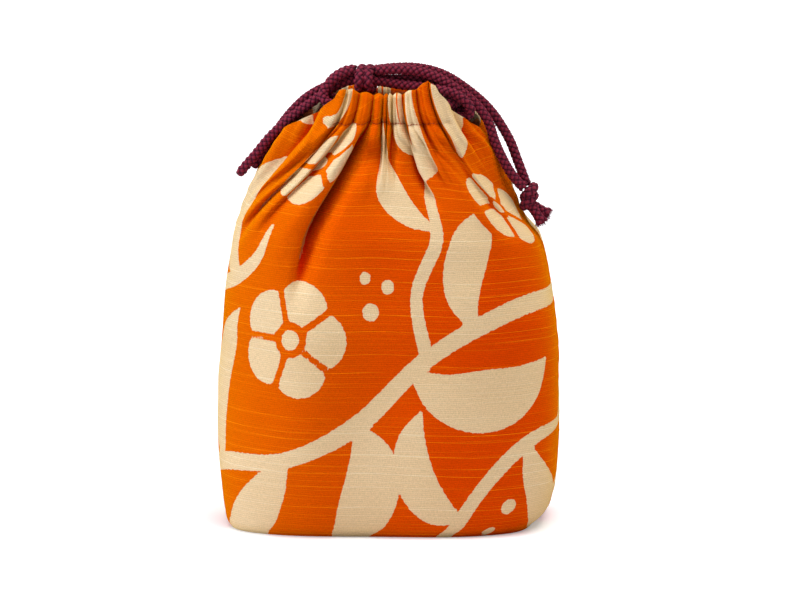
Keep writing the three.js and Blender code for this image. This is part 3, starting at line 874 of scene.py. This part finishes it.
def braid(path, closed=False, sealed_end=False, flare=0.0):
    """Points, faces and crests of a round braid along a path of even steps. The crest is 1 where a yarn
    lies outermost and 0 where it is hidden."""
    rings = len(path)
    across, upward = frames_along(path, closed)
    step = np.linalg.norm(path[1] - path[0])
    at = np.arange(rings) * step
    length = at[-1] + (step if closed else 0)
    turns = length / braid_pitch
    if closed:
        turns = max(1, round(turns))
    phase = TURN * turns * at / length
    spread = np.ones(rings)
    size = np.ones((rings, 1))
    if sealed_end:
        left = np.clip((length - at) / sealed_run, 0.02, 1)
        spread = np.sqrt(1 - (1 - left) ** 2)
        size = np.maximum(spread, 0.25)[:, None]
    if flare:
        spread = 1 + flare * smooth(at, length - flare_run, length) ** 2
    tubes = []
    for carrier in range(carrier_count):
        way = 1 if carrier % 2 == 0 else -1
        angle = way * phase + TURN * (carrier // 2) / (carrier_count / 2)
        over = way * np.cos(carrier_count / 2 * phase)
        outward = np.cos(angle)[:, None] * across + np.sin(angle)[:, None] * upward
        middle = path + outward * ((yarn_ring + yarn_wave * over) * spread)[:, None]
        along_yarn = unit(np.gradient(middle, axis=0))
        if closed:
            along_yarn = unit(np.roll(middle, -1, 0) - np.roll(middle, 1, 0))
        beside = unit(np.cross(along_yarn, outward))
        ring = np.empty((rings, yarn_sides, 3))
        crest = np.empty((rings, yarn_sides))
        for k in range(yarn_sides):
            turn = TURN * k / yarn_sides
            wide = yarn_half_width * math.cos(turn)
            thick = yarn_half_thickness * math.sin(turn)
            ring[:, k] = middle + (beside * wide + outward * thick) * size
            crest[:, k] = (0.5 + 0.5 * over) * max(0.2, math.sin(turn))
        tubes.append((ring.reshape(-1, 3), tube_faces(rings, yarn_sides, closed), crest.ravel()))
    # the core takes the darkest painted shade
    core = (core_radius * spread)[:, None]
    tubes.append(plain_tube(path, core, across, upward, yarn_sides, 0.0, closed))
    return joined(tubes)


# Loose fibres at a cut end
fibre_count = 90
fibre_shortest, fibre_longest = 2, 3.4
fibre_radius, fibre_taper = 0.22, 0.7
fibre_root_depth = 1.5
fibre_sides, fibre_rings = 3, 4
fibre_crest = 0.7


def fibres(end, way, seed):
    """A tuft of loose fibres at the cut end of a cord."""
    rng = np.random.default_rng(seed)
    part = np.linspace(0, 1, fibre_rings)[:, None]
    width = fibre_radius * (1 - fibre_taper * part)
    side = unit(np.cross(way, (0.2, 0.3, 1)))
    other = np.cross(way, side)
    tuft = []
    for _ in range(fibre_count):
        angle = rng.uniform(0, TURN)
        reach = cord_radius * 1.1 * math.sqrt(rng.uniform(0, 1))
        radial = math.cos(angle) * side + math.sin(angle) * other
        root = end + radial * reach - way * fibre_root_depth
        spread = unit(way + radial * rng.uniform(0.1, 0.5) + rng.normal(0, 0.12, 3))
        length = rng.uniform(fibre_shortest, fibre_longest)
        bend = rng.normal(0, 0.4, 3)
        across = unit(np.cross(spread, (0.1, 1, 0.3)))
        path = root + spread * length * part + bend * part * part
        tuft.append(plain_tube(path, width, across, np.cross(spread, across), fibre_sides, fibre_crest))
    return joined(tuft)


def yarn_mesh(name, parts):
    points, faces, crest = joined(parts)
    return new_mesh(name, points, faces, braid_yarn, crest=crest)


def place(piece, node, slot):
    """Puts a piece in the place of a solid."""
    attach(piece, "root")
    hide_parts(node)


def free_cord(name, route, sealed_end=False):
    """A strand that lies free along its route."""
    path = even_path(route, braid_step)
    piece = yarn_mesh(name + "_braid", [braid(path, sealed_end=sealed_end)])
    place(piece, name, "cord")
    marks = path[::4]
    if (len(path) - 1) % 4:
        marks = np.vstack([marks, path[-1:]])


def ring_path(middle, half_depth, half_height, lean, skew=0.0):
    """One turn of cord in a knot, with its axis along X."""
    count = int(round(math.pi * (half_depth + half_height) / braid_step))
    angle = np.linspace(0, TURN, count, endpoint=False)
    up = half_height * np.sin(angle)
    side = half_depth * np.cos(angle)
    return np.stack([middle[0] + lean * up + skew * side, middle[1] + side, middle[2] + up], 1)


def casing_path(exit_side, height):
    """Out and back through both tunnels, round the far notch."""
    end = casing_run / 2
    straight = np.linspace(end + 1, -0.9 * end, 12) * exit_side
    front = np.stack([straight, np.full_like(straight, -tunnel_middle), np.full_like(straight, height)], 1)
    angle = np.linspace(0, math.pi, 14)
    bend = np.stack([
        -exit_side * (end + tunnel_middle * np.sin(angle)),
        -tunnel_middle * np.cos(angle),
        np.full_like(angle, height),
    ], 1)
    return np.vstack([front, bend, front[::-1] * (1, -1, 1)])


def held_cord(name, exit_side, height):
    """The stretch of a cord that its casings hide."""
    path = even_path(casing_path(exit_side, height), braid_step)
    place(yarn_mesh(name + "_braid", [braid(path)]), name, "cord")


held_cord("right_cord_casing", 1, lower_cord_height)
held_cord("left_cord_casing", -1, upper_cord_height)

# Half knot over the mouth: two turns side by side about the strands of the other cord
turn_spacing = 0.95 * cord_radius
knot_half_height = 2 * cord_radius + 2 * touch_gap
knot_half_depth = 3 * cord_radius + 5 * touch_gap
x, y, z = top_knot_middle
left_turn = ring_path((x - turn_spacing, y, z), knot_half_depth, knot_half_height, 0.06, 0.05)
right_turn = ring_path((x + turn_spacing, y, z), knot_half_depth, knot_half_height, -0.05, 0.06)
top_knot = yarn_mesh("top_knot_braid", [braid(left_turn, closed=True), braid(right_turn, closed=True)])
place(top_knot, "top_knot", "cord")

# Overhand knot in both ends: two slanted turns, one above the other, and the two tips below them
end_turn_spacing, end_turn_lean = 0.9 * cord_radius, 0.9
end_half_depth, end_half_height = 1.5 * cord_radius, 1.1 * cord_radius
x, y, z = end_knot_middle
upper_turn = ring_path((x, y, z + end_turn_spacing), end_half_depth, end_half_height, end_turn_lean)
lower_turn = ring_path((x, y, z - end_turn_spacing), end_half_depth, end_half_height, end_turn_lean, 0.15)
knot_parts = [braid(upper_turn, closed=True), braid(lower_turn, closed=True)]
for seed, tip in enumerate(end_knot_tips):
    tip_path = even_path([(x, y, z + end_half_depth), *tip], braid_step)
    knot_parts.append(braid(tip_path, flare=tip_flare))
    knot_parts.append(fibres(tip_path[-1], unit(tip_path[-1] - tip_path[-4]), 20 + seed))
end_knot = yarn_mesh("end_knot_braid", knot_parts)
place(end_knot, "end_knot", "cord")

free_cord("right_cord_front", right_cord_front, sealed_end=True)
free_cord("right_cord_back", right_cord_back, sealed_end=True)
free_cord("left_cord_front", left_cord_front)
free_cord("left_cord_back", left_cord_back)
free_cord("right_tail_front", right_tail_front)
free_cord("right_tail_back", right_tail_back)


# Bag

columns_per_pleat = 20
row_count = 86
pleats = np.arange(pleat_count * columns_per_pleat) / columns_per_pleat
lower_stages = np.linspace(0, 1, row_count, endpoint=False)
upper_stages = np.linspace(0, 1, row_count)

# The unseen inner face of the cloth: how far in it lies, how many rows below the rim it starts, and how
# many of the outer rows go to one of its own
hidden_inset = 3
hidden_start, hidden_row_step = 22, 6

# Flat length of the cloth from the middle of the base to its edge
base_reach = outline[0][1]

# Crown of the rim: its height in crown thicknesses at the casings' ends and in their middle, and how far
# it dips between gathers
crown_end_rise, front_middle_rise, back_middle_rise = 1.4, 1.3, 2.1
front_dip, back_dip = 0.5, 0.2
crown_radius = 2

# Faces inside the mouth: the height of each ring and how many rows below the rim its cloth lies
lining_rings = [(203, 2), (200, 4), (197, 7), (slot_bottom, 11)]
lining_fold = 0.9


def mouth_lining(points, pleats, height):
    """Inside the mouth the casing has its own gathered face; beside it the cloth is single."""
    share = share_at(pleats)
    casing = smooth(seam_distance(share) / notch_share, 0.86, 1)
    back = np.where(share % 1 < 0.5, 1, -1)
    ridge = np.sin(math.pi * (pleats % 1))
    face = points.copy()
    face[:, 1] = back * (mouth_gap / 2 + lining_fold * (1 - ridge))
    face[:, 2] = height
    face[:, 0] = rim(share)[0][:, 0]
    return mix(points, face, casing[:, None])


def bag_rings():
    """Rings of cloth points from the middle of the underside, up the outside, over the rim and down the
    inside, each with the flat place of its points and whether it is inside."""
    half = slice(None, None, 2)
    share = share_at(pleats)
    spot, outward, ahead, up = cloth_rows(lower_stages, upper_stages, pleats)
    outer, hollow = cloth_points(spot, outward, ahead, up, pleats, 0)
    inner, _ = cloth_points(spot, outward, ahead, up, pleats, cloth_thickness)
    hidden, _ = cloth_points(spot, outward, ahead, up, pleats, hidden_inset)
    outer[0, :, 2] = 0
    rings = []

    def add(points, columns, heights, inside, hollow=0.0):
        count = len(points)
        rings.append((
            points, share[columns], np.broadcast_to(heights, count), np.full(count, float(inside)),
            np.broadcast_to(hollow, count),
        ))

    middle = np.array((base_shift, 0, 0))
    for part in (0.1, 0.35, 0.6, 0.85):
        ring = mix(middle, outer[0, half], part)
        add(ring, half, -(1 - part) * base_reach, 0)
    for row in range(len(outer)):
        add(outer[row], slice(None), up[row], 0, hollow[row])

    top_out = outer[-1]
    top_in = mouth_lining(inner[-1], pleats, rim_height)
    ridge = np.sin(math.pi * (pleats % 1))
    thick = np.linalg.norm(top_out - top_in, axis=1)
    inward = casing_place(seam_distance(share))
    is_back = share % 1 < 0.5
    dip = np.where(is_back, back_dip, front_dip)
    middle_rise = np.where(is_back, back_middle_rise, front_middle_rise)
    rise = np.minimum(mix(crown_end_rise, middle_rise, inward) * crown_thickness, thick / 2)
    rise = rise * (1 - dip + dip * ridge)
    for turn in np.linspace(0, math.pi, 8)[1:-1]:
        ring = mix(top_in, top_out, 0.5 + 0.5 * math.cos(turn))
        ring[:, 2] += rise * math.sin(turn)
        add(ring, slice(None), up[-1] + crown_radius * turn, 0, hollow[-1])
    add(top_in, slice(None), up[-1] + crown_radius * math.pi, 1)

    for height, rows_below in lining_rings:
        ring = mouth_lining(inner[-rows_below], pleats, height)
        add(ring, slice(None), up[-rows_below], 1)
    upper_rows = range(len(inner) - hidden_start, row_count - 1, -hidden_row_step)
    lower_rows = range(row_count - 1, 2, -hidden_row_step)
    for row in [*upper_rows, *lower_rows]:
        add(hidden[row][half], half, up[row][half], 1)
    floor = hidden[0][half].copy()
    floor[:, 2] = cloth_thickness
    add(floor, half, up[0][half], 1)
    for part in (0.6, 0.2):
        ring = mix(middle + (0, 0, cloth_thickness), floor, part)
        add(ring, half, -(1 - part) * base_reach, 1)
    return rings


def bag_mesh():
    """Points and faces of the bag, with the values of each point, and for each corner of a face whether
    it lies past the end of the flat cloth."""
    rings = bag_rings()
    starts = np.concatenate([[0], np.cumsum([len(ring[0]) for ring in rings])])
    points = np.concatenate([ring[0] for ring in rings])
    along = np.concatenate([ring[1] * cloth_round for ring in rings])
    up = np.concatenate([ring[2] for ring in rings])
    inside = np.concatenate([ring[3] for ring in rings])
    hollow = np.concatenate([ring[4] for ring in rings])
    faces, wraps = [], []
    for r in range(len(rings) - 1):
        low, high = len(rings[r][0]), len(rings[r + 1][0])
        count = max(low, high)
        for i in range(count):
            a, b = i * low // count, (i + 1) * low // count
            d, c = i * high // count, (i + 1) * high // count
            corners = [
                (starts[r] + a % low, a >= low),
                (starts[r] + b % low, b >= low),
                (starts[r + 1] + c % high, c >= high),
                (starts[r + 1] + d % high, d >= high),
            ]
            if a == b:
                corners.pop(1)
            elif c == d:
                corners.pop(2)
            faces.append(tuple(int(k) for k, _ in corners))
            wraps += [wrap for _, wrap in corners]
    first = tuple(int(k) for k in range(len(rings[0][0])))
    last = tuple(int(starts[-2] + k) for k in range(len(rings[-1][0])))
    faces += [first[::-1], last]
    wraps += [False] * (len(first) + len(last))
    return points, faces, along, up, inside, hollow, np.array(wraps)


points, faces, along, up, inside, hollow, wraps = bag_mesh()
print_edge = print_distance(along, up)
bag = new_mesh("bag_cloth", points, faces, cotton, print_edge=print_edge, inside=inside, hollow=hollow)
mesh = bag.data
corner_points = np.empty(len(mesh.loops), np.int32)
mesh.loops.foreach_get("vertex_index", corner_points)
flat_places = np.stack([along[corner_points] + cloth_round * wraps, up[corner_points]], 1)
mesh.uv_layers.new(name="flat").data.foreach_set("uv", flat_places.astype(np.float32).ravel())


def tunnel(back_side):
    """The channel through one casing, as a bar that cuts it."""
    bpy.ops.mesh.primitive_cube_add(size=1)
    bar = bpy.context.object
    bar.dimensions = ((casing_run + 8) * MM, tunnel_width * MM, tunnel_height * MM)
    bar.location = (0, back_side * tunnel_middle * MM, (tunnel_top + tunnel_bottom) / 2 * MM)
    bpy.ops.object.transform_apply(location=True, rotation=True, scale=True)
    return bar


for back_side in (-1, 1):
    bar = tunnel(back_side)
    cut = bag.modifiers.new("tunnel", "BOOLEAN")
    cut.operation = "DIFFERENCE"
    cut.solver = "MANIFOLD"
    cut.object = bar
    bpy.context.view_layer.objects.active = bag
    bpy.ops.object.modifier_apply(modifier=cut.name)
    bpy.data.objects.remove(bar)
place(bag, "bag_body", "cloth")


# Stitches along both casings

# Each is a short run of thread that bows out of the cloth
stitch_columns = 3
sewn_share = 1.02 * notch_share
thread_radius, thread_sides, thread_step = 0.17, 5, 0.4
thread_lift, thread_bow = 0.1, 0.12
thread_crest = 0.5


def stitch_line():
    """Points of the cloth along the stitch line, one for each column, and the ways out of the cloth."""
    spot, outward, ahead, flat_up = cloth_rows(lower_stages, upper_stages, pleats)
    outer, _ = cloth_points(spot, outward, ahead, flat_up, pleats, 0)
    upper = outer[row_count:]
    line = []
    for column, at in enumerate(stitch_at(share_at(pleats))):
        heights = upper[:, column, 2]
        line.append([np.interp(at, heights, upper[:, column, k]) for k in range(3)])
    return np.array(line), outward[-1]


def stitches():
    """Points, faces and crests of the stitches of both casings."""
    line, outward = stitch_line()
    sewn = np.nonzero(seam_distance(share_at(pleats)) > sewn_share)[0]
    parts = []
    for first in sewn[:-2:stitch_columns]:
        columns = slice(first, first + stitch_columns)
        dash = line[columns] + outward[columns] * thread_lift
        dash[1] += outward[first + 1] * thread_bow
        path = even_path(dash, thread_step)
        across, upward = frames_along(path, False)
        parts.append(plain_tube(path, thread_radius, across, upward, thread_sides, thread_crest))
    return joined(parts)


stitch_points, stitch_faces, stitch_crest = stitches()
thread = new_mesh("casing_stitches", stitch_points, stitch_faces, sewing_thread, crest=stitch_crest)
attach(thread, "root")


# Studio

# A key light from the left, a strong one from above, and faint ones from the front and the right: the way
# each shines, its strength, its spread in degrees and its colour
white = (1, 1, 1)
suns = {
    "key": ((1, 0.32, -0.35), 1.78, 26, (1, 1.15, 1.4)),
    "front": ((0.6, 0.8, -0.5), 0.12, 40, white),
    "fill": ((-0.7, -0.12, -0.8), 0.5, 60, white),
    "overhead": ((-0.12, 0.1, -1), 3.1, 45, white),
}

# The floor and the world look brighter than they light the bag
floor_half_size = 6000
floor_white, floor_glow = 0.85, 0.25
world_light, world_seen = 0.1, 1.0


def seen_share(tree):
    """1 for the rays that show the stage, straight on, mirrored or through glass, and 0 for the rest."""
    rays = tree.nodes.new("ShaderNodeLightPath").outputs
    mirrored = math_node(tree, "MAXIMUM", rays["Is Camera Ray"], rays["Is Glossy Ray"])
    return math_node(tree, "MAXIMUM", mirrored, rays["Is Transmission Ray"])


def stage_floor():
    material, tree, shader = new_material("white floor")
    shader.inputs["Base Color"].default_value = (floor_white, floor_white, floor_white, 1)
    shader.inputs["Roughness"].default_value = 0.9
    shader.inputs["Specular IOR Level"].default_value = 0
    shader.inputs["Emission Color"].default_value = (*white, 1)
    feed(tree, shader.inputs["Emission Strength"], times(tree, seen_share(tree), floor_glow))
    r = floor_half_size
    floor = new_mesh("floor", [(-r, -r, 0), (r, -r, 0), (r, r, 0), (-r, r, 0)], [(0, 1, 2, 3)], material)


def sun(name, towards, strength, spread, colour):
    data = bpy.data.lights.new(name, "SUN")
    data.energy = strength
    data.color = colour
    data.angle = math.radians(spread)
    light = bpy.data.objects.new(name, data)
    light.rotation_euler = Vector(towards).to_track_quat("-Z", "Y").to_euler()
    bpy.context.scene.collection.objects.link(light)


def studio_world():
    world = bpy.data.worlds.new("studio")
    bpy.context.scene.world = world
    world.use_nodes = True
    tree = world.node_tree
    tree.nodes.clear()
    output = tree.nodes.new("ShaderNodeOutputWorld")
    background = tree.nodes.new("ShaderNodeBackground")
    background.inputs["Color"].default_value = (*white, 1)
    strength = ramp_node(tree, seen_share(tree), 0, 1, world_light, world_seen)
    feed(tree, background.inputs["Strength"], strength)
    feed(tree, output.inputs["Surface"], background.outputs[0])


stage_floor()
studio_world()
for name, (towards, strength, spread, colour) in suns.items():
    sun(name, towards, strength, spread, colour)
bpy.context.scene.view_settings.view_transform = "Standard"
